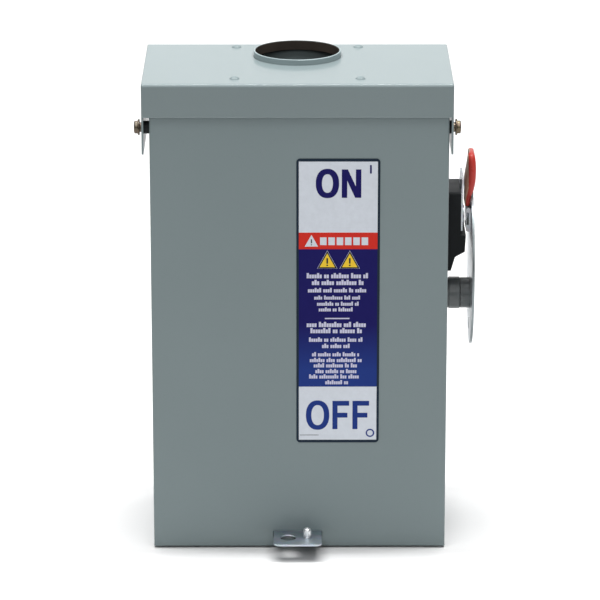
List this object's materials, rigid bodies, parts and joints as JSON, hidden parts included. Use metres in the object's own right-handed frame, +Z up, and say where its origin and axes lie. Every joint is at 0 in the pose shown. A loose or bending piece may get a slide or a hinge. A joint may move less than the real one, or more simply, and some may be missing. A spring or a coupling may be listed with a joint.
{
  "type": "electrical disconnect switch",
  "caption": "Rainproof sheet-steel AC disconnect box with a top-hinged door, conduit opening in the hood and a red side lever that swings a knife-blade switch.",
  "frame": {"origin": "centre of the four wall-mounting holes, on the back plane", "axes": "+X to the right, +Y into the wall, +Z up"},
  "size_m": [0.2666, 0.1632, 0.3846],
  "materials": {
    "painted_steel": "satin grey-green enamel",
    "zinc_steel": "bright zinc plate",
    "yellow_zinc": "yellow zinc plate",
    "dark_casting": "dark grey painted casting",
    "red_grip": "glossy moulded red",
    "black_moulding": "black moulded plastic",
    "label": "printed vinyl",
    "copper": "copper",
    "bronze": "sintered bronze",
    "lug_aluminium": "tin-plated aluminium",
    "insulator": "moulded phenolic",
    "clear_plastic": "clear sheet",
    "spring_steel": "spring steel",
    "green_screw": "green screw"
  },
  "bodies": {
    "enclosure": {"box_wrap": "painted_steel", "bottom_endwall": "painted_steel", "knockout_discs": "painted_steel", "rain_hood": "painted_steel", "hub_plate": "painted_steel", "hub_screws": "painted_steel", "hub_nuts": "zinc_steel", "hinge_screws": "yellow_zinc", "hinge_washers": "yellow_zinc", "hinge_spacers": "dark_casting", "hinge_nuts": "zinc_steel", "box_hasp": "zinc_steel", "shaft_housing": "dark_casting", "shaft_bushing": "bronze", "bushing_nut": "zinc_steel", "handle_base": "black_moulding", "lockout_plate": "zinc_steel", "lockout_rivets": "zinc_steel", "base_fixings": "zinc_steel", "switch_base": "insulator", "base_screws": "zinc_steel", "left_bearing": "insulator", "right_bearing": "insulator", "line_jaws": "copper", "load_clips": "copper", "line_lugs": "lug_aluminium", "load_lugs": "lug_aluminium", "line_lug_screws": "zinc_steel", "load_lug_screws": "zinc_steel", "phase_barrier": "insulator", "line_shield": "clear_plastic", "return_spring": "spring_steel", "ground_bar": "lug_aluminium", "ground_screws": "green_screw"},
    "door": {"door": "painted_steel", "door_hasp": "zinc_steel", "door_label": "label"},
    "lock_screw": {"hasp_screw": "zinc_steel"},
    "handle": {"handle_plate": "zinc_steel", "handle_grip": "red_grip", "handle_neck": "zinc_steel", "handle_hub": "dark_casting", "handle_shaft": "zinc_steel", "shaft_nut": "zinc_steel", "rotor_bar": "insulator", "switch_blades": "copper", "drive_crank": "zinc_steel"}
  },
  "joints": [
    {"name": "door_hinge", "type": "hinge", "parent": "enclosure", "child": "door", "pos_m": [0, -0.124, 0.1535], "axis": [-1, 0, 0], "range_deg": [0, 94]},
    {"name": "handle_pivot", "type": "hinge", "parent": "enclosure", "child": "handle", "pos_m": [0, -0.069, 0.0035], "axis": [1, 0, 0], "range_deg": [0, 150]},
    {"name": "lock_screw_slide", "type": "slide", "parent": "door", "child": "lock_screw", "axis": [0, 0, -1], "range_m": [0, 0.005]}
  ]
}
